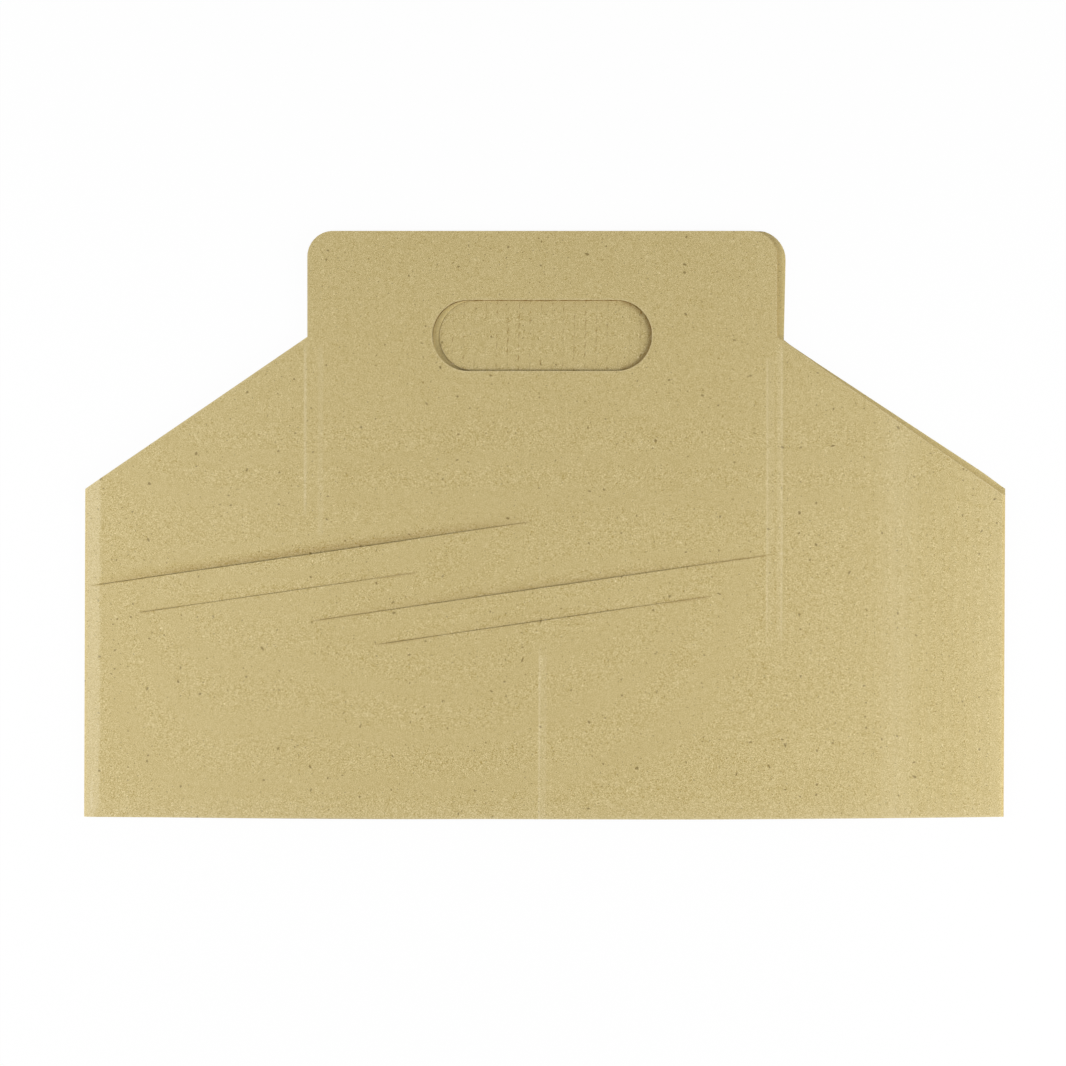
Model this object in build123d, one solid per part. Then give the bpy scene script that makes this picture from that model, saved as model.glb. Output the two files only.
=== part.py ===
from build123d import *

import math
import os

# Cup carrier, folded flat: one die-cut sheet of fluted kraft board, closed into a flat tube.
# X runs from fold to fold, Y from the bottom edge to the handle, Z up through the two boards.
# The origin is under the middle of the carrier, on the surface that it lies on.

# Fluted board
board = 1.5  # whole thickness of the board
liner = 0.25  # flat paper on each side of the flutes
medium = 0.3  # upright thickness of the waved paper between the liners
flute_pitch = 3.4
panel_gap = 0.4  # air left between the front and the back panel

# Outline of a panel
carrier_width = 282.0  # fold to fold
carrier_height = 180.6  # bottom edge to top of handle
side_height = 101.4  # bottom edge to where the left shoulder meets its fold
shoulder_misfit = 2.2  # how much lower the right shoulder meets its fold
handle_width = 144.3
handle_height = 32.5  # top of handle to the corner where the shoulders start
handle_corner_radius = 7.9
handle_offset = 0.8  # how far the handle sits to the left of the panel's middle
back_shift = 0.6  # how far the back panel's cuts sit to the right of a square fold

# Folds
fold_strip = 4.5  # crushed strip beside a fold
fold_drop = 0.9  # how far that strip slopes down to the fold
fold_round_share = 0.45  # rounding of a fold, as a share of its height

# Hand slot
slot_width = 67.3
slot_height = 21.8
slot_drop = 32.3  # top of handle to the middle of the slot
flap_kerf = 0.3  # knife line round the back panel's flap

# Cup slits
slit_slope = 8.2  # degrees
slit_height = 91.9  # bottom edge to the top slit's line, at the middle of the panel
strip_width = 10.3  # upright distance from one slit's line to the next
corner_slit_length = 135.0
lower_corner_slit_length = 86.0
lower_corner_slit_shift = 10.5  # how far it sits to the left of the corner slit's middle
middle_slit_length = 143.0
lower_middle_slit_length = 103.0
upper_slit_gape = 0.5
lower_slit_gape = 0.3

# Creases
crease_width = 1.8
crease_depth = 0.2
crease_spacing = 4.45  # between the two lines of a corner crease
left_crease_inset = 1.8  # handle's edge to the middle of the left pair
right_crease_inset = 0.7  # handle's edge to the middle of the right pair
middle_crease_offset = 0.2  # how far the middle crease sits to the left of the handle's middle
crease_start = 2.5  # shoulder corner to the top of the corner creases
right_crease_length = 90.5
middle_crease_height = 51.5  # bottom edge to the top of the lower middle crease
crease_margin = 2.5  # crease end to the slit that stops it

# Flute channels
channel_margin = 3.0  # slits or hand slot to the end of the open flutes

overrun = 6.0  # how far cutters reach past the board

stack = 2 * board + panel_gap
half_width = carrier_width / 2
top = carrier_height / 2
bottom = -top
shoulder_corner = top - handle_height
handle_middle = -handle_offset
handle_left = handle_middle - handle_width / 2
handle_right = handle_middle + handle_width / 2
left_crease = handle_left + left_crease_inset
right_crease = handle_right - right_crease_inset
middle_crease = handle_middle - middle_crease_offset
slot_middle = top - slot_drop
slit_rise = math.tan(math.radians(slit_slope))


def slit_line(row, x):
    """Height of a row's slit line at x, counting rows down from the top slit."""
    return bottom + slit_height - row * strip_width + x * slit_rise


def tube_section():
    """Section across the flutes: two boards in one piece, joined round the two folds."""
    corners = [
        (-half_width, 0),
        (half_width - fold_strip, 0),
        (half_width, fold_drop),
        (half_width, stack),
        (-half_width + fold_strip, stack),
        (-half_width, stack - fold_drop),
    ]
    outer = make_face(Polyline(corners, close=True))
    ends = outer.vertices().filter_by(lambda corner: abs(corner.X) > half_width - board)
    outer = fillet(ends, fold_round_share * (stack - fold_drop))
    gap = Pos(0, stack / 2) * SlotOverall(carrier_width - 2 * board, panel_gap)
    return Plane.XZ * (outer - gap)


def panel_outline():
    """Front panel's die-cut outline, carried past the folds along its own edges."""
    left = -half_width - overrun
    right = half_width + overrun
    left_end = bottom + side_height
    right_end = left_end - shoulder_misfit
    left_slope = (shoulder_corner - left_end) / (handle_left + half_width)
    right_slope = (shoulder_corner - right_end) / (half_width - handle_right)
    corners = [
        (right, bottom),
        (right, right_end - overrun * right_slope),
        (handle_right, shoulder_corner),
        (handle_right, top),
        (handle_left, top),
        (handle_left, shoulder_corner),
        (left, left_end - overrun * left_slope),
        (left, bottom),
    ]
    outline = make_face(Polyline(corners, close=True))
    return fillet(outline.vertices().group_by(Axis.Y)[-1], handle_corner_radius)


def panel_offcut():
    """What the die takes away round a panel."""
    margin = 4 * overrun
    return Rectangle(carrier_width + margin, carrier_height + margin) - panel_outline()


def slit(row, x, length, gape):
    """Knife slit that opens to its gape in the middle and closes at both ends."""
    lips = [
        SagittaArc((-length / 2, 0), (length / 2, 0), gape / 2),
        SagittaArc((-length / 2, 0), (length / 2, 0), -gape / 2),
    ]
    return Pos(x, slit_line(row, x)) * Rot(0, 0, slit_slope) * make_face(lips)


def panel_slits():
    """Two pairs of slits: one over the left crease, one over the middle crease."""
    return [
        slit(0, left_crease, corner_slit_length, upper_slit_gape),
        slit(1, left_crease - lower_corner_slit_shift, lower_corner_slit_length, lower_slit_gape),
        slit(2, middle_crease, middle_slit_length, upper_slit_gape),
        slit(3, middle_crease, lower_middle_slit_length, lower_slit_gape),
    ]


def slot_outline(inset):
    """Hand slot, drawn in by an inset."""
    place = Pos(handle_middle, slot_middle)
    return place * SlotOverall(slot_width - 2 * inset, slot_height - 2 * inset)


def flap_cut():
    """Knife line round a flap that stays hinged along the straight top of the slot."""
    hinge = Rectangle(slot_width - slot_height, slot_height)
    hinge_place = Pos(handle_middle, slot_middle + slot_height / 2)
    return slot_outline(0) - slot_outline(flap_kerf) - hinge_place * hinge


def crease_lines():
    """Each crease as its place across the panel, its low end and its high end."""
    half = crease_spacing / 2
    corner_top = shoulder_corner - crease_start
    lines = []
    for x in (left_crease - half, left_crease + half):
        lines.append((x, slit_line(0, x) + crease_margin, corner_top))
    for x in (right_crease - half, right_crease + half):
        lines.append((x, corner_top - right_crease_length, corner_top))
    lines.append((middle_crease, bottom - overrun, bottom + middle_crease_height))
    high_end = slit_line(0, middle_crease) - crease_margin
    lines.append((middle_crease, slit_line(2, middle_crease) + crease_margin, high_end))
    return lines


def crease(x, low, high):
    """Round-bottomed groove that the creasing rule leaves in the outer face."""
    radius = (crease_width**2 / 4 + crease_depth**2) / (2 * crease_depth)
    place = Pos(x, (low + high) / 2, stack - crease_depth + radius)
    return place * Rot(90, 0, 0) * Cylinder(radius, high - low)


def flute_section():
    """Open flutes of the front board: their place, and a triangle on one side of the waved paper."""
    wave = board - 2 * liner
    height = wave - medium / 2
    half_base = flute_pitch / 2 * height / wave
    low = stack - board + liner
    high = stack - liner
    creased = [x for x, *ends in crease_lines()]
    count = int((carrier_width - 2 * fold_strip) / flute_pitch)
    flutes = []
    for number in range(2 * count - 1):
        x = (number + 1 - count) * flute_pitch / 2
        if min(abs(x - line) for line in creased) < crease_width / 2 + half_base / 2:
            continue
        foot, tip = (low, low + height) if number % 2 == 0 else (high, high - height)
        corners = [(x - half_base, foot), (x + half_base, foot), (x, tip)]
        flutes.append((x, Plane.XZ * make_face(Polyline(corners, close=True))))
    return flutes


def flute_channels(slot_open):
    """Flutes that stay open from the board's edges in, as far as the slits or a closed hand slot."""
    reach = top + overrun
    slits_top = slit_line(0, middle_crease)
    slits_bottom = slit_line(3, middle_crease - lower_middle_slit_length / 2)
    slot_top = slot_middle + slot_height / 2
    channels = []
    for x, flute in flute_section():
        over_slot = abs(x - handle_middle) < slot_width / 2 + channel_margin
        upper_end = (slot_top if over_slot and not slot_open else slits_top) + channel_margin
        lower_end = slits_bottom - channel_margin
        channels.append(extrude(Pos(0, reach, 0) * flute, reach - upper_end))
        channels.append(extrude(Pos(0, lower_end, 0) * flute, reach + lower_end))
    return channels


def through_front(face):
    """Cutter through the front board, from the middle of the gap up."""
    return extrude(Pos(0, 0, stack / 2) * face, stack / 2 + overrun)


def turned(shapes):
    """The same shapes on the back panel, which is the front one turned about the upright axis."""
    turn = Pos(back_shift, 0, stack / 2) * Rot(0, 180, 0) * Pos(0, 0, -stack / 2)
    return [turn * shape for shape in shapes]


def carrier_board():
    """The whole carrier: a flat tube of board, trimmed, slit and creased on both sides."""
    tube = extrude(tube_section(), top + overrun, both=True)
    both_sides = [through_front(face) for face in [panel_offcut(), *panel_slits()]]
    both_sides += [crease(*line) for line in crease_lines()]
    front = [through_front(slot_outline(0)), *flute_channels(slot_open=True)]
    back = [through_front(flap_cut()), *flute_channels(slot_open=False)]
    return tube - both_sides - front - turned(both_sides + back)


os.makedirs("parts", exist_ok=True)
export_step(carrier_board(), "parts/carrier_board.step")
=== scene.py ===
import math
from collections import Counter

import bpy
import numpy as np
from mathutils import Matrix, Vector


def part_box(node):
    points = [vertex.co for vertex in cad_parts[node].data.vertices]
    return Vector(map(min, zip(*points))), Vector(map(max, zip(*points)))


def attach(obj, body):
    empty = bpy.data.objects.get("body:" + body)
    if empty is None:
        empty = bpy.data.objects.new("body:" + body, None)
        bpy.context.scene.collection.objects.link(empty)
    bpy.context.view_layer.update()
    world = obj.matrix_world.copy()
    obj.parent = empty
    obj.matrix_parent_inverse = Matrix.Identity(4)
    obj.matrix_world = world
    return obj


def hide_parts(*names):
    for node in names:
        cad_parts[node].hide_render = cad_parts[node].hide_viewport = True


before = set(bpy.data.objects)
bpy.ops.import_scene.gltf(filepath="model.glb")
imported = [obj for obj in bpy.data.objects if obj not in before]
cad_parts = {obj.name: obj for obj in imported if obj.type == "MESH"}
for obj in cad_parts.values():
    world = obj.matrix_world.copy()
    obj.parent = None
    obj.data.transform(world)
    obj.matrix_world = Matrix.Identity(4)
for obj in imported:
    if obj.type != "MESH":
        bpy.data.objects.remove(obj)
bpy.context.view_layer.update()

# Cup carrier, folded flat. Sizes are in millimetres, in the CAD's frame, and MM brings them to metres.
MM = 0.001
NODE = "carrier_board"
low_corner, high_corner = (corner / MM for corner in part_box(NODE))

# Fluted board: two liners with a waved paper between them
OUTER, WAVED, INNER = range(3)  # a panel's three papers, from its outer side in
half_width = (high_corner.x - low_corner.x) / 2
top = high_corner.y
bottom = low_corner.y
stack = high_corner.z
board = 1.5  # whole thickness of the board
liner = 0.25  # flat paper on each side of the flutes
medium = 0.17  # upright thickness of the waved paper
flute_pitch = 3.4
panel_gap = stack - 2 * board
gap_close = 1.5  # stretch near a fold over which the gap closes
sag = 0.36  # how far the front's free upper part lies down on the back
sag_height = 35.0  # height over the carrier's middle from which the sag is full
sag_inset = 40.0  # distance from a fold from which the sag is full

# Outline of a panel
side_height = 101.4  # bottom edge to where the left shoulder meets its fold
shoulder_misfit = 2.2  # how much lower the right shoulder meets its fold
handle_width = 144.3
handle_height = 32.5  # top of handle to the corner where the shoulders start
handle_corner_radius = 7.9
handle_middle = -0.8
# How far the left fold, the handle's left side and the right fold lie from their place in the CAD
side_shifts = (-0.07, 0.15, 0.48)
back_shift = 0.75  # how far the back panel sits to the right between its folds
shift_fade = 9.0  # distance from a fold from which that shift is full
# The back panel doesn't lie quite square: heights with their shift to the right, and places
# across the right shoulder with their shift up, which grows from a height on
back_leans = ((0.0, 50.0, 80.0, 90.0), (0.0, -0.4, 0.28, 0.43))
back_lifts = ((66.0, 74.7, 137.2, 141.0), (0.0, -1.07, 0.1, 0.1))
back_lift_start = -15.0
back_lift_fade = 20.0
bottom_bow = 0.82  # how much further down the bottom edge is at its lowest place than at the folds
bow_middle = 43.0  # where that place is
bow_power = 1.5

# Folds
fold_strip = 4.5  # crushed strip beside the left fold
fold_drop = 0.9  # how far that strip slopes down to the fold
fold_round = 1.15
fold_leans = (0.0034, 0.0048)  # slope of the left and the right fold below the shoulders
# Waves in the strip's edge: how far they reach, their length in millimetres to a radian, and their start
strip_waves = ((0.12, 2.7, 0.0), (0.1, 1.13, 1.0), (0.1, 0.61, 0.0))
strip_narrowing = 1.8  # how much narrower the strip is at the bottom edge
narrowing_height = 4.5
far_strip = 2.6  # slight slope beside the right fold
far_drop = 0.3
far_drop_start = 40.0  # shoulder corner to where that slope starts
far_drop_fade = 60.0

# Hand slot, which is a cut-out in front and a flap that was never pushed out behind
slot_width = 67.5
slot_height = 21.74
slot_drop = 32.08  # top of handle to the middle of the slot
flap_kerfs = (0.008, 0.03, 0.05)  # knife line through each of the three papers
flap_rise = 0.55  # how far the flap's free edge has sprung in
hinge_fade = 2.0  # stretch past the hinge over which the knife line opens
slot_ledges = (0.0, 0.11, 0.2)  # how far each paper reaches past the front slot's upper edge

# Cup slits
slit_slope = 8.2  # degrees
slit_height = 91.8  # bottom edge to the top slit's line, at the middle of the panel
slit_drops = (0.0, 10.35, 20.6, 30.65)  # the top slit's line to each slit's line
top_slit_bend = 0.2  # how far the top slit's right end turns up
bend_start = 20.0  # the top slit's middle to where it starts to turn
bend_length = 45.0
seam_end = 72.0  # place from which the slits' lines run level
seam_clearance = 4.0  # least upright distance between the lines, and up to the shoulder
lip_reach_up = 11.0  # how far above a slit the board lies down
gape_fullness = 40  # how full the gape stays towards a slit's ends
gape_thinning = 0.55  # how much narrower the gape is at a slit's right end

# Creases
crease_width = 1.8
crease_depth = 0.06
broad_crease_depth = 0.05
faint_crease_depth = 0.02
crease_spacing = 4.45  # between the two lines of a corner crease
crease_fade = 4.0  # stretch over which a crease ends
crease_top = 1.0  # shoulder corner to the top of the corner creases
left_crease_inset = 1.8  # handle's edge to the middle of the left pair
left_crease_ends = (11.5, 3.0)  # the top slit's line to the low end of each left crease
right_crease_inset = 0.65  # handle's edge to the middle of the right pair
right_crease_length = 90.5
right_crease_overruns = (1.0, 2.0)  # how much further down each right crease reaches
inner_crease_drop = 4.0  # how much lower the inner one of the right pair starts
middle_crease_inset = 0.1  # how far the middle crease sits to the left of the handle's middle
middle_crease_height = 53.0  # bottom edge to the top of the lower middle crease
middle_crease_overrun = 9.0  # how far the middle crease is carried past the bottom edge

# Ripple that the flutes leave in a liner
ripple = 0.02
far_ripple = 0.035
far_ripple_start = 92.0
far_ripple_fade = 12.0

# Uneven edges: a slow wave, as its share, its turn and the turn of its swell in radians to a millimetre,
# and a quick wave, as its share and its turn
gape_waves = ((0.35, 2.1, 0.83), (0.4, 5.3))
slot_waves = ((0.5, 1.3, 0.37), (0.4, 4.1))

# Wear and painted light on an outer liner, as shares by which the paper is made lighter or darker
# made lighter along the crushed strip beside the left fold
strip_lightening = 0.41
strip_lightening_past = 0.75  # how far past the crushed strip its lightening ends
strip_lightening_fade = 0.9
nose_darkening = (0.3, 0.6)  # how much darker the paper is made at the left and at the right fold
nose_reach = 1.1
nose_fade = 0.9
edge_highlight = 0.22  # painted highlight along cut edges
edge_highlight_width = 0.6
band_sheen = 0.14  # painted sheen in an upright band on the far side
band_place = 108.0
band_half_width = 8.0
# painted sheen towards the right fold
far_sheen = 0.1
far_sheen_start = 122.0
far_sheen_fade = 18.0
side_sheen = 0.08  # painted sheen towards both sides of the panel's middle
side_sheen_start = 40.0
side_sheen_fade = 70.0
spot_rub = 0.4  # right end of the third slit
spot_place = 72.6
spot_half_length = 1.6
spot_half_width = 0.6
bottom_rub = 0.12
bottom_rub_height = 8.0

# Painted shade above and along the front's slits
shade_rise = 0.6  # height over a slit's line up to which the painted shade grows
line_shade = 0.15
line_end_shade = 0.6  # painted shade added towards a slit's ends
line_half_width = 0.3
line_end_start = 0.6  # share of the way to a slit's end from which it is added
line_end_grow = 0.25
line_end_fade = 0.05

# Darkening of the papers that show only at cuts: partly crushed cut edges, partly painted shade
lower_slot_darkening = 0.1
upper_slot_darkening = 1.8
slit_darkening = 0.8
cut_darkening_width = 0.6

# Painted light and shade on the back's inner liner: the slivers that show past the front, and the flap
shoulder_sliver_light = 0.32
handle_sliver_light = 0.52
sliver_reach = 1.4  # how far in the painted light reaches, in lengths of sliver_fade
sliver_fade = 3.0
around_light = 0.4  # painted light round the flap
around_light_above = 0.2
around_reach = 1.5  # how far out it reaches, in lengths of around_fade
around_fade = 4.0
# painted shade along the knife line at the flap's round ends
knife_shade = 1.0
knife_width = 0.25
end_shade = 1.05  # painted shade along the slot's right end, as seen from the front
shade_width = 1.8
facing_sum = 0.5  # a place across the back panel plus the one that it faces on the front panel
mark_soil = 1.1  # marks of the flutes
mark_half_width = 0.3
flap_margin = mark_half_width / 8  # the slot's edge to where the flap's own marks and painted shade start
mark_waves = ((1.0, 1.9, 2.4), (0.6, 4.3, 1.0))  # share, turn to a millimetre and turn to the next flute

# Mesh
front_steps = (6, 6, 4)  # columns to a flute in each of the three papers
back_steps = (4, 6, 2)
fold_steps = 6  # columns round a fold, a corner of the handle and an end of the slot
corner_steps = 9
slot_steps = 11
crease_steps = 4
strip_columns = (-0.4, -0.2, 0.0, 0.2, 0.4)  # places about the crushed strip's edge
coarse_rows = {"bottom": 1, "strip": 1, "shoulder": 1, "handle": 2, "flap": 1}
front_rows = {"bottom": 14, "strip": 7, "shoulder": 26, "handle": 9, "flap": 1}
back_rows = {"bottom": 6, "strip": 2, "shoulder": 8, "handle": 4, "flap": 8}
inside_rows = {**coarse_rows, "handle": 4, "flap": 22}
weld_digits = 4
sharp_angle = 32.0  # degrees

handle_left = handle_middle - handle_width / 2
handle_right = handle_middle + handle_width / 2
shoulder_corner = top - handle_height
slot_middle = top - slot_drop
slot_round = slot_height / 2
slot_left = handle_middle - slot_width / 2
slot_right = handle_middle + slot_width / 2
hinge_half = slot_width / 2 - slot_round
left_crease = handle_left + left_crease_inset
right_crease = handle_right - right_crease_inset
middle_crease = handle_middle - middle_crease_inset
slit_rise = math.tan(math.radians(slit_slope))

# Slits from the top down: middle, length, gape, how far the lips stand up below and lie down above,
# how far below the slit the lift fades out, how full the lips stay towards its ends, and how much shade
# is painted on the board above it and how far up
SLIT_KEYS = ("x", "length", "gape", "lift", "sink", "reach", "fullness", "painted_shade", "shade_reach")
SLITS = [
    dict(zip(SLIT_KEYS, (left_crease, 136.0, 0.13, 0.52, 0.2, 80.0, 3, 0.82, 3.6))),
    dict(zip(SLIT_KEYS, (left_crease - 10.5, 86.5, 0.1, 0.2, 0.12, 70.0, 3, 0.12, 3.5))),
    dict(zip(SLIT_KEYS, (middle_crease + 0.4, 144.0, 0.08, 0.4, 0.22, 70.0, 2, 0.38, 3.6))),
    dict(zip(SLIT_KEYS, (middle_crease + 0.9, 103.5, 0.1, 0.2, 0.2, 60.0, 2, 0.15, 3.5))),
]

# How much lighter a crease is rubbed, at places across it
NARROW_RUB = ((-0.78, -0.42, -0.15, 0.15, 0.5), (0.0, 0.42, 0.44, 0.2, 0.0))
BROAD_RUB = ((-1.1, -0.6, 0.0, 0.7, 1.1), (0.0, 0.14, 0.17, 0.14, 0.0))
INNER_RUB = ((-0.6, -0.3, -0.05, 0.25, 2.0, 2.3, 2.6), (0.0, 0.34, 0.36, 0.12, 0.08, -0.08, 0.0))
OUTER_RUB = ((-1.9, -1.55, -0.6, -0.2, 0.1, 0.35), (0.0, 0.13, 0.17, 0.36, 0.3, 0.0))
MIDDLE_RUB = ((-0.95, -0.6, -0.35, -0.1, 1.4, 1.9), (0.0, 0.43, 0.4, 0.15, 0.17, 0.0))
FAINT_RUB = ((-1.0, -0.75, -0.5, -0.2), (0.0, 0.12, 0.12, 0.0))
CREASE_KEYS = ("x", "low", "high", "depth", "rub")


def smooth(share):
    """Eases from 0 to 1."""
    share = np.clip(share, 0, 1)
    return share * share * (3 - 2 * share)


def uneven(x, waves, start=0):
    """About 1 along an edge: a slow wave that swells and fades, and a quick one."""
    (slow, slow_turn, swell), (quick, quick_turn) = waves
    slow_wave = slow * np.sin(slow_turn * x) * np.sin(swell * x + start)
    return 1 + slow_wave + quick * np.sin(quick_turn * x + 2 * start)


def from_slit_middle(slit, x):
    """How far x lies from a slit's middle: 1 at both its ends."""
    return np.abs(x - slit["x"]) / (slit["length"] / 2)


def slit_share(slit, x, fullness):
    """How open a slit is at x: 1 in its middle, 0 from its ends on."""
    return np.clip(1 - from_slit_middle(slit, x) ** fullness, 0, None)


def shoulder_line(x):
    """The panel's upper edge beside the handle, and the level of its corners under the handle."""
    left_end = bottom + side_height
    places = [-half_width, handle_left, handle_right, half_width]
    heights = [left_end, shoulder_corner, shoulder_corner, left_end - shoulder_misfit]
    return np.interp(x, places, heights)


def seam(row, x):
    """A slit's line, carried on past both its ends across the whole panel."""
    line = bottom + slit_height - slit_drops[row] + slit_rise * np.minimum(x, seam_end)
    if row == 0:
        line = line + top_slit_bend * smooth((x - left_crease - bend_start) / bend_length)
    return np.minimum(line, shoulder_line(x) - (row + 1) * seam_clearance)


def slit_half_gape(row, x):
    """Half the width of a slit at x, a little uneven as cut board is."""
    slit = SLITS[row]
    thinner = 1 - gape_thinning * smooth((x - slit["x"]) / (slit["length"] / 2))
    half = slit["gape"] / 2 * uneven(x, gape_waves, row)
    return half * thinner * slit_share(slit, x, gape_fullness)


def bottom_edge(x):
    """The bottom edge, which bows down a little."""
    reach = np.where(x < bow_middle, half_width + bow_middle, half_width - bow_middle)
    return bottom + bottom_bow * np.abs((x - bow_middle) / reach) ** bow_power


def handle_top(x):
    """The handle's top edge with its two round corners."""
    inset = np.minimum(x - handle_left, handle_right - x)
    missing = np.clip(handle_corner_radius - inset, 0, handle_corner_radius)
    return top - handle_corner_radius + np.sqrt(handle_corner_radius**2 - missing**2)


def waist(x):
    """The line from one shoulder corner to the other, through the middle of the hand slot."""
    places = [handle_left, slot_left, slot_right, handle_right]
    return np.interp(x, places, [shoulder_corner, slot_middle, slot_middle, shoulder_corner])


def slot_half(x, inset=0.0):
    """Half the height of the hand slot at x, drawn in by an inset."""
    radius = slot_round - inset
    along = np.clip(np.abs(x - handle_middle) - hinge_half, 0, radius)
    return np.sqrt(radius**2 - along**2)


def flap_top(x, kerf):
    """Upper edge of the flap over the slot's middle: the hinge, and a knife line at both its ends."""
    past_hinge = np.abs(x - handle_middle) - hinge_half
    return slot_half(x, kerf) + kerf * (1 - smooth(past_hinge / hinge_fade))


def outline_distance(x, y):
    """Distance inward from the shoulders, the handle's sides and the bottom edge."""
    from_side = np.minimum(x - handle_left, handle_right - x)
    from_shoulder = np.where(from_side > 0, half_width, shoulder_line(x) - y)
    beside = np.where(y > shoulder_corner, from_side, half_width)
    return np.minimum(np.minimum(from_shoulder, beside), y - bottom_edge(x))


def slot_distance(x, y):
    """Distance from the hand slot's edge, less than zero inside the slot."""
    past_round = np.clip(np.abs(x - handle_middle) - hinge_half, 0, None)
    return np.hypot(past_round, y - slot_middle) - slot_round


def fold_strip_at(y):
    """Width of the crushed strip beside the left fold, which narrows at the bottom edge."""
    waver = sum(reach * np.sin(y / length + start) for reach, length, start in strip_waves)
    narrower = strip_narrowing * smooth((bottom + narrowing_height - y) / narrowing_height)
    return fold_strip + waver - narrower


def crease_lines():
    """Each crease: its place, its two ends, its depth and how it is rubbed."""
    half = crease_spacing / 2
    high = shoulder_corner - crease_top
    left_lows = [seam(0, left_crease) + end for end in left_crease_ends]
    right_lows = [high - right_crease_length - overrun for overrun in right_crease_overruns]
    middle_low = bottom - middle_crease_overrun
    middle_high = bottom + middle_crease_height
    slit_lows = [seam(row, middle_crease) for row in (2, 0)]
    lines = [
        (left_crease - half, left_lows[0], high, crease_depth, NARROW_RUB),
        (left_crease + half, left_lows[1], high, broad_crease_depth, BROAD_RUB),
        (right_crease - half, right_lows[0], high - inner_crease_drop, crease_depth, INNER_RUB),
        (right_crease + half, right_lows[1], high, crease_depth, OUTER_RUB),
        (middle_crease, middle_low, middle_high, crease_depth, MIDDLE_RUB),
        (middle_crease, *slit_lows, faint_crease_depth, FAINT_RUB),
    ]
    return [dict(zip(CREASE_KEYS, line)) for line in lines]


def crease_length_share(line, y):
    """1 along a crease, easing to 0 at both its ends."""
    return smooth((y - line["low"]) / crease_fade) * smooth((line["high"] - y) / crease_fade)


def rub_and_painted_light(x, y):
    """An outer liner: light at rubbed creases and the crushed strip, with a painted highlight at cut
    edges and painted sheen towards the far side and both sides, and darker at the folds.
    """
    share = np.zeros(np.broadcast(x, y).shape)
    for line in crease_lines():
        share += np.interp(x - line["x"], *line["rub"]) * crease_length_share(line, y)
    strip_end = fold_strip_at(y) + strip_lightening_past
    share += strip_lightening * smooth((strip_end - (x + half_width)) / strip_lightening_fade)
    left_dark, right_dark = nose_darkening
    nose_dark = np.where(x > 0, right_dark, left_dark)
    share -= nose_dark * smooth((np.abs(x) - half_width + nose_reach) / nose_fade)
    # painted highlight along cut edges
    from_edge = np.minimum(np.abs(slot_distance(x, y)), outline_distance(x, y))
    share += edge_highlight * smooth(1 - from_edge / edge_highlight_width)
    # painted sheen on the far side and towards both sides
    share += band_sheen * smooth(1 - np.abs(x - band_place) / band_half_width)
    share += far_sheen * smooth((x - far_sheen_start) / far_sheen_fade)
    share += side_sheen * smooth((np.abs(x) - side_sheen_start) / side_sheen_fade)
    spot = smooth(1 - np.abs(x - spot_place) / spot_half_length)
    share += spot_rub * spot * smooth(1 - np.abs(y - seam(2, x)) / spot_half_width)
    return share + bottom_rub * smooth(1 - (y - bottom) / bottom_rub_height)


def front_rub_and_painted_shading(x, y):
    """The front's outer liner: as the back's, and with painted shade above and along each slit."""
    share = rub_and_painted_light(x, y)
    for row, slit in enumerate(SLITS):
        above = y - seam(row, x)
        # painted shade above the slit, where the raised lower lip shades the board
        near = smooth(above / shade_rise) * smooth(1 - above / slit["shade_reach"])
        share -= slit["painted_shade"] * near * slit_share(slit, x, slit["fullness"])
        # a thin painted dark line along the slit, darker towards its ends
        along = from_slit_middle(slit, x)
        ends = smooth((along - line_end_start) / line_end_grow) * smooth((1 - along) / line_end_fade)
        line = smooth(1 - np.abs(above) / line_half_width) * (along < 1)
        share -= (line_shade + line_end_shade * ends) * line
    return share


def cut_darkening(x, y):
    """The papers under the front's outer liner, darker at the hand slot and slits: crushed edges and
    painted shade.
    """
    # partly crushed cut edges, partly painted shade at the slot's upper edge and in the slits
    darkened = np.where(y > slot_middle, upper_slot_darkening, lower_slot_darkening) * uneven(x, slot_waves)
    share = -darkened * smooth(1 - np.abs(slot_distance(x, y)) / cut_darkening_width)
    for row in range(len(SLITS)):
        share -= slit_darkening * smooth(1 - np.abs(y - seam(row, x)) / cut_darkening_width)
    return share


def unworn(x, y):
    """Paper that nothing has touched."""
    return np.zeros(np.broadcast(x, y).shape)


def painted_light_and_marks_behind(x, y):
    """The back's inner liner: painted light along the edges that show past the front and round the flap,
    and broken marks of the flutes with painted shade where it shows through the hand slot."""
    # painted light on the slivers past the front and round the flap
    sliver_light = np.where(y > shoulder_corner, handle_sliver_light, shoulder_sliver_light)
    light = sliver_light * smooth(sliver_reach - outline_distance(x, y) / sliver_fade)
    past = slot_distance(x, y)
    above = smooth((y - slot_middle) / slot_round + 0.5)
    around = (around_light + around_light_above * above) * smooth(around_reach - past / around_fade)
    flute = np.round(x / flute_pitch - 0.5)
    mark = smooth(1 - np.abs(x - (flute + 0.5) * flute_pitch) / mark_half_width)
    broken = sum(share * np.sin(turn * y + step * flute) for share, turn, step in mark_waves)
    marks = mark_soil * mark * np.clip(broken, 0, None)
    # painted shade along the knife line and along the slot's right end
    knife = knife_shade * smooth(1 + past / knife_width) * (np.abs(x - handle_middle) > hinge_half)
    shaded = end_shade * smooth(1 + slot_distance(facing_sum - x, y) / shade_width) * (x < -hinge_half)
    return light + np.where(past > -flap_margin, around, -marks - shaded - knife)


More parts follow.
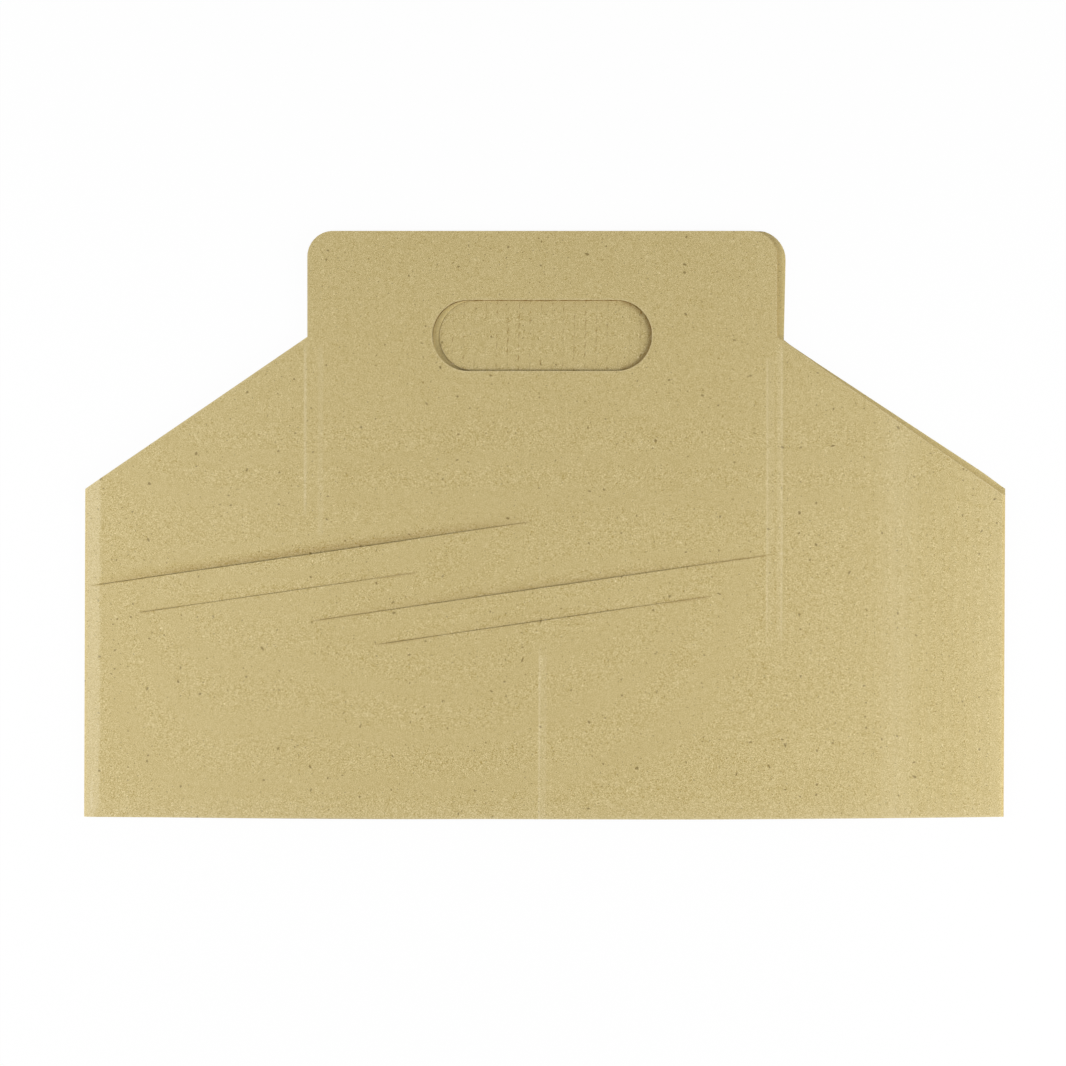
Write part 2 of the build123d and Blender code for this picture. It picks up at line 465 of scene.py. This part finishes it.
def lips(x, y, lifted):
    """How far the board stands up below a slit, or lies down above it."""
    height = np.zeros(np.broadcast(x, y).shape)
    for row, slit in enumerate(SLITS):
        away = y - seam(row, x)
        share = slit_share(slit, x, slit["fullness"])
        down = np.clip(1 + away / slit["reach"], 0, 1)
        up = np.clip(1 - away / lip_reach_up, 0, 1) ** 2
        height += share * np.where(away < 0, lifted * slit["lift"] * down, -slit["sink"] * up)
    return height


def nose(x):
    """Rounding of a fold: 1 on the flat, 0 at the fold's outermost line."""
    past = np.clip((np.abs(x) - half_width + fold_round) / fold_round, 0, 1)
    return np.sqrt(1 - past**2)


def flute_wave(x):
    """The flutes' wave across a panel, from 1 at a crest to -1 at a trough."""
    return np.cos(2 * math.pi * x / flute_pitch)


def outer_height(x, y, lifted):
    """The outer face over the middle of the gap."""
    from_left = x + half_width
    from_right = half_width - x
    height = np.full(np.broadcast(x, y).shape, stack / 2)
    height -= fold_drop * np.clip(1 - from_left / fold_strip_at(y), 0, 1)
    far_share = smooth((shoulder_corner - far_drop_start - y) / far_drop_fade)
    height -= far_drop * far_share * np.clip(1 - from_right / far_strip, 0, 1)
    depth = ripple + far_ripple * smooth((x - far_ripple_start) / far_ripple_fade)
    height -= depth * (1 - flute_wave(x)) / 2
    for line in crease_lines():
        across = smooth(1 - np.abs(x - line["x"]) / (crease_width / 2))
        height -= line["depth"] * across * crease_length_share(line, y)
    return height * nose(x) + lips(x, y, lifted)


def inner_height(x, y, lifted):
    """The inner face over the middle of the gap, which closes at the folds."""
    to_fold = half_width - board - np.abs(x)
    hollow = ripple * (1 - flute_wave(x)) / 2
    return (panel_gap / 2 + hollow) * smooth(to_fold / gap_close) + lips(x, y, lifted)


def layer_heights(x, y, lifted):
    """Upper and lower face of each paper layer: outer liner, waved medium, inner liner."""
    outer = outer_height(x, y, lifted)
    inner = inner_height(x, y, lifted)
    squeeze = np.clip((outer - inner) / board, 0, 1)
    outer_under = outer - liner * squeeze
    inner_over = inner + liner * squeeze
    paper = medium * squeeze
    wave = (1 + flute_wave(x)) / 2
    wave_low = inner_over + (outer_under - paper - inner_over) * wave
    return [(outer, outer_under), (wave_low + paper, wave_low), (inner_over, inner)]


def arc_places(start, radius, steps):
    """Places that step evenly round a quarter circle, from where it is upright at start."""
    turn = np.linspace(0, math.pi / 2, steps + 1)
    return start + radius * (1 - np.cos(turn))


def panel_columns(is_back, number):
    """A layer's columns across a panel: even steps along the flutes, and more where needed."""
    insets = flap_kerfs + slot_ledges
    places = [
        arc_places(-half_width, fold_round, fold_steps),
        arc_places(half_width, -fold_round, fold_steps),
        arc_places(handle_left, handle_corner_radius, corner_steps),
        arc_places(handle_right, -handle_corner_radius, corner_steps),
        arc_places(slot_left, slot_round, slot_steps),
        arc_places(slot_right, -slot_round, slot_steps),
        [slot_left + inset for inset in insets],
        [slot_right - inset for inset in insets],
        -half_width + fold_strip + np.array(strip_columns),
    ]
    if is_back and number == INNER:
        first = math.ceil(slot_left / flute_pitch - 0.5)
        marks = np.arange(first, slot_right / flute_pitch - 0.5) + 0.5
        across = [-mark_half_width, 0, mark_half_width]
        places.append(np.add.outer(marks * flute_pitch, across).ravel())
    if number == OUTER:
        for line in crease_lines():
            places.append(line["x"] + np.linspace(-1, 1, crease_steps + 1) * crease_width / 2)
            places.append(line["x"] + np.array(line["rub"][0]))
    for slit in SLITS:
        places.append(slit["x"] + np.array([-0.5, 0.5]) * slit["length"])
    kept = np.unique(np.round(np.concatenate(places), weld_digits))
    step = flute_pitch / (back_steps if is_back else front_steps)[number]
    count = int(half_width / step)
    even = np.arange(-count, count + 1) * step
    clear = np.min(np.abs(even[:, None] - kept[None, :]), axis=1) > step / 2
    return np.sort(np.concatenate([kept, even[clear]]))


def panel_patches(is_back, number):
    """A layer's plan as patches between two edges, with the stretches where those edges are cut."""
    x = panel_columns(is_back, number)
    kerf = flap_kerfs[number]
    ledge = 0.0 if is_back else slot_ledges[number]
    everywhere = np.ones(len(x) - 1, bool)
    middle = (x[1:] + x[:-1]) / 2
    in_handle = (middle > handle_left) & (middle < handle_right)
    in_slot = (middle > slot_left + ledge) & (middle < slot_right - ledge)
    at_hinge = np.abs(middle - handle_middle) < hinge_half
    edges = [(bottom_edge(x), bottom_edge(x), everywhere)]
    for row in reversed(range(len(SLITS))):
        gape = slit_half_gape(row, x)
        cut = (gape[1:] > 0) | (gape[:-1] > 0)
        edges.append((seam(row, x) - gape, seam(row, x) + gape, cut))
    upper = np.where((x < handle_left) | (x > handle_right), shoulder_line(x), waist(x))
    over_slot = np.abs(x - handle_middle) < slot_width / 2 - ledge
    gap_above = np.where(over_slot, slot_half(x, ledge), 0)
    gap_below = np.where(over_slot, slot_half(x), 0)
    edges.append((upper - gap_below, None, ~in_handle | in_slot))
    names = ["bottom", "strip", "strip", "strip", "shoulder"]
    patches = []
    for name, (_, low, low_cut), (high, _, high_cut) in zip(names, edges[:-1], edges[1:]):
        patches.append((name, x, low, high, low_cut, high_cut))
    held = (x >= handle_left) & (x <= handle_right)
    low_cut = in_slot & ~at_hinge if is_back else in_slot
    low = (waist(x) + gap_above)[held]
    high = handle_top(x[held])
    patches.append(("handle", x[held], low, high, low_cut[in_handle], everywhere[in_handle]))
    if is_back:
        inside = np.abs(x - handle_middle) < slot_width / 2 - kerf + 10.0**-weld_digits
        inside_cut = inside[1:] & inside[:-1]
        flap_x = x[inside]
        flap_low = waist(flap_x) - slot_half(flap_x, kerf)
        flap_high = waist(flap_x) + flap_top(flap_x, kerf)
        cut = inside_cut & ~at_hinge
        patches.append(("flap", flap_x, flap_low, flap_high, everywhere[inside_cut], cut[inside_cut]))
    return patches


class Layer:
    """Faces of one paper layer, gathered patch by patch and then welded."""

    def __init__(self):
        self.points = []
        self.faces = []
        self.count = 0

    def add_points(self, points):
        """Takes a grid of points in, and gives their numbers as the same grid."""
        index = self.count + np.arange(points[..., 0].size).reshape(points.shape[:-1])
        self.points.append(points.reshape(-1, 3))
        self.count += index.size
        return index

    def skin(self, index, upward):
        """Faces between the points of a grid."""
        quads = np.stack([index[:-1, :-1], index[:-1, 1:], index[1:, 1:], index[1:, :-1]], axis=-1)
        self.faces.append(quads.reshape(-1, 4)[:, :: 1 if upward else -1])

    def wall(self, upper, lower, cut, forward):
        """Faces between two lines of points, along the stretches that are cut."""
        quads = np.stack([lower[:-1], lower[1:], upper[1:], upper[:-1]], axis=-1)[cut]
        self.faces.append(quads[:, :: 1 if forward else -1])

    def welded(self):
        """Points without doubles, and faces without repeated corners or a twin back to back."""
        points = np.concatenate(self.points)
        _, first, inverse = np.unique(
            np.round(points, weld_digits), axis=0, return_index=True, return_inverse=True
        )
        faces = []
        for quad in inverse.reshape(-1)[np.concatenate(self.faces)].tolist():
            corners = list(dict.fromkeys(quad))
            if len(corners) > 2:
                faces.append(corners)
        uses = Counter(frozenset(face) for face in faces)
        return points[first], [face for face in faces if uses[frozenset(face)] == 1]


def patch_grid(patch, rows):
    """Plan of a patch as rows of points, closer together towards both its edges.

    At the folds the rows run together, so that a layer's two faces meet there point by point."""
    name, x, low, high, _, _ = patch
    share = (1 - np.cos(np.linspace(0, math.pi, rows + 1))) / 2
    shares = np.repeat(share[:, None], len(x), axis=1)
    if name not in ("handle", "flap"):
        shares[:, [0, -1]] = np.round(shares[:, [0, -1]])
    y = low + (high - low) * shares
    return np.broadcast_to(x, y.shape), y


def build_layer(patches, number, upper_rows, lower_rows, lifted):
    """One paper layer of a panel as a closed skin: both its faces, and walls along every cut edge."""
    layer = Layer()
    for patch in patches:
        name, _, _, _, low_cut, high_cut = patch
        sides = []
        for side, rows in enumerate((upper_rows[name], lower_rows[name])):
            x, y = patch_grid(patch, rows)
            z = layer_heights(x, y, lifted)[number][side]
            z = z - lifted * sag * smooth(y / sag_height) * smooth((half_width - np.abs(x)) / sag_inset)
            if name == "flap":
                z = z - flap_rise * smooth((slot_middle + slot_round - y) / slot_height)
            index = layer.add_points(np.stack([x, y, z], axis=-1))
            layer.skin(index, upward=side == 0)
            sides.append(index)
        upper, lower = sides
        layer.wall(upper[0], lower[0], low_cut, forward=True)
        layer.wall(upper[-1], lower[-1], high_cut, forward=False)
        if name == "handle":
            whole = np.ones(len(upper) - 1, bool)
            layer.wall(upper[:, 0], lower[:, 0], whole, forward=False)
            layer.wall(upper[:, -1], lower[:, -1], whole, forward=True)
    return layer.welded()


def lean(points):
    """Both folds lean a little below the shoulders, and the right one lies a little further out."""
    below = np.minimum(points[:, 1] - (bottom + side_height), 0)
    share = np.interp(points[:, 0], [-half_width, half_width], fold_leans)
    places = [-half_width, handle_left, handle_right, half_width]
    left, handle, right = side_shifts
    shift = np.interp(points[:, 0], places, [left, handle, 0, right])
    points[:, 0] += share * below + shift
    return points


def turned(points):
    """The back panel's place: turned about the upright axis, and a little askew between its folds."""
    points = points * [-1, 1, -1]
    inside = smooth((half_width - np.abs(points[:, 0])) / shift_fade)
    lift_share = smooth((points[:, 1] - back_lift_start) / back_lift_fade)
    lift = np.interp(points[:, 0], *back_lifts) * lift_share
    points[:, 0] += (back_shift + np.interp(points[:, 1], *back_leans)) * inside
    points[:, 1] += lift
    return points


def build_panel(is_back):
    """Points, faces, wear and painted light, and paper of each of a panel's layers, in the whole
    carrier's frame.
    """
    lifted = 0.0 if is_back else 1.0
    outer_rows = back_rows if is_back else front_rows
    inner_rows = inside_rows if is_back else coarse_rows
    upper_rows = (outer_rows, coarse_rows, {**coarse_rows, "handle": inner_rows["handle"]})
    lower_rows = ({**coarse_rows, "handle": outer_rows["handle"]}, coarse_rows, inner_rows)
    wear_and_painted_light = (rub_and_painted_light, unworn, painted_light_and_marks_behind) if is_back else (front_rub_and_painted_shading, cut_darkening, cut_darkening)
    paper_names = ("liner", "medium", "inside") if is_back else ("liner", "medium", "liner")
    parts = []
    for number in (OUTER, WAVED, INNER):
        patches = panel_patches(is_back, number)
        points, faces = build_layer(patches, number, upper_rows[number], lower_rows[number], lifted)
        light = wear_and_painted_light[number](points[:, 0], points[:, 1])
        if is_back:
            points = turned(points)
        points = lean(points) + [0, 0, stack / 2]
        parts.append((points, faces, light, paper_names[number]))
    return parts


def make_carrier(materials):
    """The carrier's mesh: front and back panel, three paper layers each."""
    points, faces, light, face_papers = [], [], [], []
    count = 0
    order = list(materials)
    for part in build_panel(is_back=False) + build_panel(is_back=True):
        part_points, part_faces, part_light, paper = part
        points.append(part_points)
        light.append(part_light)
        faces += [[corner + count for corner in face] for face in part_faces]
        face_papers += [order.index(paper)] * len(part_faces)
        count += len(part_points)
    mesh = bpy.data.meshes.new("kraft_carrier")
    mesh.from_pydata((np.concatenate(points) * MM).tolist(), [], faces)
    for material in materials.values():
        mesh.materials.append(material)
    mesh.polygons.foreach_set("material_index", face_papers)
    attribute = mesh.attributes.new("rub_and_painted_light", "FLOAT", "POINT")
    attribute.data.foreach_set("value", np.concatenate(light).astype(np.float32))
    mesh.shade_smooth()
    mesh.set_sharp_from_angle(angle=math.radians(sharp_angle))
    mesh.validate()
    holder = bpy.data.objects.new("kraft_carrier", mesh)
    bpy.context.scene.collection.objects.link(holder)
    return holder


def linear(red, green, blue):
    """A colour written as screen values from 0 to 255."""
    values = []
    for value in (red, green, blue):
        share = value / 255
        values.append(share / 12.92 if share < 0.04045 else ((share + 0.055) / 1.055) ** 2.4)
    return (*values, 1.0)


# Colours of paper, wear, and painted light and shade
LINER_COLOUR = linear(197.6, 179, 125.6)
MEDIUM_COLOUR = linear(178, 156, 108)
# pale colour of rubbed paper, also used for painted highlight and sheen
PALE_RUB_AND_SHEEN = linear(236, 224, 190)
# warm colour of the painted light on the back's inner liner
WARM_PAINTED_LIGHT = linear(250, 228, 155)
SPECK_BROWN = linear(108, 87, 40)
# dark brown for the flute marks and darker folds, also used for painted shade at the slits and the slot
SOIL_AND_SHADE_BROWN = linear(130, 94, 26)
TONE_WEIGHTS = (1, 1.25, 2.1)  # how much red, green and blue change with a tone

# Fibres: their turn in degrees, and how often they repeat along and across themselves in a millimetre
FIBRES = ((24, (0.8, 5.0, 1)), (-38, (0.8, 5.5, 1)), (75, (0.8, 4.6, 1)))
FIBRE_EDGE = (0.12, 0.24)  # noise at which a fibre starts, and at which it is full
# Specks: cells to a millimetre, share of the cells left empty, and size as a share of a cell
SPECKS = ((0.2, 0.88, 0.085), (0.42, 0.6, 0.09), (0.3, 0.9, 0.09))


def tone_of(colour, share):
    """A lighter or darker tone of a paper colour, whose blue changes most."""
    values = [max(0.0, value * (1 + share * weight)) for value, weight in zip(colour, TONE_WEIGHTS)]
    return (*values, 1.0)


class Graph:
    """A material's nodes, with short calls to add and link them."""

    def __init__(self, name):
        self.material = bpy.data.materials.new(name)
        self.material.use_nodes = True
        self.nodes = self.material.node_tree.nodes
        self.links = self.material.node_tree.links
        self.shader = self.nodes["Principled BSDF"]

    def put(self, socket, value):
        """Links another node's output to a socket, or sets the socket's own value."""
        if isinstance(value, bpy.types.NodeSocket):
            self.links.new(value, socket)
        else:
            socket.default_value = value

    def node(self, kind, settings=None, **inputs):
        """A new node with its settings and inputs."""
        node = self.nodes.new(kind)
        for key, value in (settings or {}).items():
            setattr(node, key, value)
        for key, value in inputs.items():
            self.put(node.inputs[key.replace("_", " ")], value)
        return node

    def math(self, operation, *values):
        """The result of a sum on single values."""
        node = self.node("ShaderNodeMath", {"operation": operation})
        for socket, value in zip(node.inputs, values):
            self.put(socket, value)
        return node.outputs[0]

    def vector(self, operation, *values):
        """The result of a sum on vectors."""
        node = self.node("ShaderNodeVectorMath", {"operation": operation})
        for socket, value in zip(node.inputs, values):
            self.put(socket, value)
        return node.outputs[0]

    def weighted(self, start, parts):
        """start plus each value times its weight."""
        total = start
        for value, weight in parts:
            total = self.math("MULTIPLY_ADD", value, weight, total)
        return total

    def mix(self, share, first, second):
        """first at share 0, second at share 1, and carried on past both."""
        # Inputs 6 and 7 and output 2 are the node's colours
        node = self.node("ShaderNodeMix", {"data_type": "RGBA", "clamp_factor": False})
        self.put(node.inputs[0], share)
        self.put(node.inputs[6], first)
        self.put(node.inputs[7], second)
        return node.outputs[2]

    def noise(self, vector, scale, detail=2.0, roughness=0.5):
        """Noise about zero."""
        settings = {"Vector": vector, "Scale": scale, "Detail": detail, "Roughness": roughness}
        node = self.node("ShaderNodeTexNoise", **settings)
        return self.math("SUBTRACT", node.outputs[0], 0.5)

    def window(self, value, low, high):
        """0 below low, 1 above high."""
        node = self.node("ShaderNodeMapRange", {"interpolation_type": "SMOOTHSTEP"}, Value=value)
        self.put(node.inputs["From Min"], low)
        self.put(node.inputs["From Max"], high)
        return node.outputs[0]


def paper_fibres(graph, place):
    """Short fibres in several directions, each as 0 beside a fibre and 1 on it."""
    fibres = []
    for turn, stretch in FIBRES:
        laid = graph.node("ShaderNodeMapping", {"vector_type": "TEXTURE"}, Vector=place)
        graph.put(laid.inputs["Rotation"], (0, 0, math.radians(turn)))
        graph.put(laid.inputs["Scale"], tuple(1 / value for value in stretch))
        strand = graph.noise(laid.outputs[0], scale=1.0, detail=1.0)
        fibres.append(graph.window(strand, *FIBRE_EDGE))
    return fibres


def paper_specks(graph, place):
    """Scattered specks of several kinds, each as 0 beside a speck and 1 on it."""
    specks = []
    for scale, rarity, size in SPECKS:
        flat = {"voronoi_dimensions": "2D"}
        cells = graph.node("ShaderNodeTexVoronoi", flat, Vector=place, Scale=scale)
        chosen = graph.node("ShaderNodeSeparateColor", Color=cells.outputs["Color"])
        rare = graph.math("GREATER_THAN", chosen.outputs[0], rarity)
        dot = graph.math("SUBTRACT", 1.0, graph.window(cells.outputs["Distance"], size / 2, size))
        specks.append(graph.math("MULTIPLY", rare, dot))
    return specks


def kraft(name, colour, contrast, rub_and_light_colour):
    """Unbleached paper: fine grain, short fibres in several directions, a few specks, wear and painted
    light and shade.
    """
    graph = Graph(name)
    metres = graph.nodes.new("ShaderNodeTexCoord").outputs["Object"]
    place = graph.vector("MULTIPLY", metres, (1 / MM,) * 3)
    wide = graph.vector("MULTIPLY", place, (0.8, 1.0, 1.0))
    cloud = graph.noise(place, scale=0.05)
    mottle = graph.noise(wide, scale=0.8)
    grain = graph.noise(wide, scale=6.0, roughness=0.6)
    patchy = graph.noise(place, scale=2.2)
    swirl = graph.node("ShaderNodeTexNoise", Vector=place, Scale=0.3, Detail=1.0)
    swirl_reach = 2.5
    bent = graph.vector("MULTIPLY_ADD", swirl.outputs[1], (swirl_reach,) * 3, place)
    fibres = paper_fibres(graph, bent)
    faint_specks, small_specks, light_specks = paper_specks(graph, bent)

    parts = [(cloud, 0.05), (mottle, 0.2), (grain, 3.0), (fibres[0], 0.12), (fibres[1], -0.16)]
    parts += [(fibres[2], 0.08), (light_specks, 0.3)]
    tone = graph.weighted(0.5, parts)
    mixed = graph.mix(tone, tone_of(colour, -contrast), tone_of(colour, contrast))
    speckled = graph.weighted(0.0, [(faint_specks, 0.65), (small_specks, 0.6)])
    mixed = graph.mix(speckled, mixed, SPECK_BROWN)

    # wear, painted light and painted shade from the mesh, as shares that lighten or darken the paper
    wear_and_painted_light = graph.node("ShaderNodeAttribute", {"attribute_name": "rub_and_painted_light"}).outputs["Fac"]
    pale_strength = graph.weighted(0.53, [(patchy, 1.1)])
    pale = graph.math("MULTIPLY", graph.math("MAXIMUM", wear_and_painted_light, 0.0), pale_strength)
    mixed = graph.mix(pale, mixed, rub_and_light_colour)
    dark_strength = graph.weighted(-0.44, [(patchy, -0.4)])
    dark = graph.math("MULTIPLY", graph.math("MINIMUM", wear_and_painted_light, 0.0), dark_strength)
    mixed = graph.mix(dark, mixed, SOIL_AND_SHADE_BROWN)

    relief = graph.weighted(0.0, [(mottle, 0.3), (grain, 0.6), (fibres[0], 0.3), (fibres[1], -0.2)])
    bump = graph.node("ShaderNodeBump", Strength=0.25, Distance=0.04 * MM, Height=relief)
    graph.put(graph.shader.inputs["Base Color"], mixed)
    graph.put(graph.shader.inputs["Roughness"], graph.weighted(0.86, [(grain, 0.25)]))
    graph.put(graph.shader.inputs["Normal"], bump.outputs[0])
    graph.shader.inputs["Specular IOR Level"].default_value = 0.2
    return graph.material


def make_floor():
    """A plain white floor far wider than the view, which the camera sees almost evenly white."""
    size = 4.0
    drop = 0.02 * MM
    glow_share = 0.96
    corners = [(-size, -size, -drop), (size, -size, -drop), (size, size, -drop), (-size, size, -drop)]
    mesh = bpy.data.meshes.new("floor")
    mesh.from_pydata(corners, [], [(0, 1, 2, 3)])
    graph = Graph("floor_white")
    graph.shader.inputs["Base Color"].default_value = (0.9, 0.9, 0.9, 1)
    graph.shader.inputs["Roughness"].default_value = 0.9
    graph.shader.inputs["Specular IOR Level"].default_value = 0.0
    rays = graph.nodes.new("ShaderNodeLightPath")
    seen = graph.math("MAXIMUM", rays.outputs["Is Camera Ray"], rays.outputs["Is Glossy Ray"])
    glow = graph.node("ShaderNodeEmission", Color=(1, 1, 1, 1), Strength=1.0)
    both = graph.node("ShaderNodeMixShader", Fac=graph.math("MULTIPLY", seen, glow_share))
    graph.put(both.inputs[1], graph.shader.outputs[0])
    graph.put(both.inputs[2], glow.outputs[0])
    graph.put(graph.nodes["Material Output"].inputs["Surface"], both.outputs[0])
    mesh.materials.append(graph.material)
    floor = bpy.data.objects.new("floor", mesh)
    bpy.context.scene.collection.objects.link(floor)


def make_lamp(name, place, aim, power):
    """A soft lamp that faces a place on the carrier, in metres and watts."""
    lamp = bpy.data.lights.new(name, "AREA")
    lamp.shape = "RECTANGLE"
    lamp.size = 0.35
    lamp.size_y = 0.45
    lamp.energy = power
    holder = bpy.data.objects.new(name, lamp)
    holder.location = place
    holder.rotation_mode = "QUATERNION"
    holder.rotation_quaternion = (holder.location - Vector(aim)).to_track_quat("Z", "Y")
    holder.visible_camera = False
    bpy.context.scene.collection.objects.link(holder)


def make_light():
    """Soft light from both sides and an even glow all round, which the camera sees as white."""
    room_glow = 0.3
    seen_glow = 1.0
    make_lamp("left_lamp", place=(-0.5, -0.058, 0.331), aim=(-0.13, 0, 0), power=2.37)
    make_lamp("right_lamp", place=(0.5, -0.144, 0.276), aim=(0.13, 0, 0), power=2.76)
    world = bpy.data.worlds.new("studio")
    bpy.context.scene.world = world
    world.use_nodes = True
    nodes = world.node_tree.nodes
    links = world.node_tree.links
    glow = nodes["Background"]
    glow.inputs["Color"].default_value = (1, 1, 1, 1)
    level = nodes.new("ShaderNodeMath")
    level.operation = "MULTIPLY_ADD"
    links.new(nodes.new("ShaderNodeLightPath").outputs["Is Camera Ray"], level.inputs[0])
    level.inputs[1].default_value = seen_glow - room_glow
    level.inputs[2].default_value = room_glow
    links.new(level.outputs[0], glow.inputs["Strength"])


def make_camera():
    """Straight above the carrier, from far enough that the view is almost parallel."""
    distance = 1.4
    view_width = 327.0 * MM
    middle = (-3.55 * MM, -2.4 * MM)
    camera = bpy.data.cameras.new("camera")
    camera.sensor_width = 36.0
    camera.lens = camera.sensor_width * (distance - stack * MM) / view_width
    camera.clip_end = 50.0
    holder = bpy.data.objects.new("camera", camera)
    holder.location = (*middle, distance)
    bpy.context.scene.collection.objects.link(holder)
    bpy.context.scene.camera = holder


bpy.context.scene.view_settings.view_transform = "Standard"
make_camera()
make_light()
make_floor()
papers = {
    "liner": kraft("kraft_liner", LINER_COLOUR, contrast=0.4, rub_and_light_colour=PALE_RUB_AND_SHEEN),
    "medium": kraft("kraft_medium", MEDIUM_COLOUR, contrast=0.35, rub_and_light_colour=PALE_RUB_AND_SHEEN),
    # the back's inner liner, whose warm rub colour is its painted light
    "inside": kraft("kraft_inside", LINER_COLOUR, contrast=0.4, rub_and_light_colour=WARM_PAINTED_LIGHT),
}
carrier = make_carrier(papers)
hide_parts(NODE)
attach(carrier, "root")
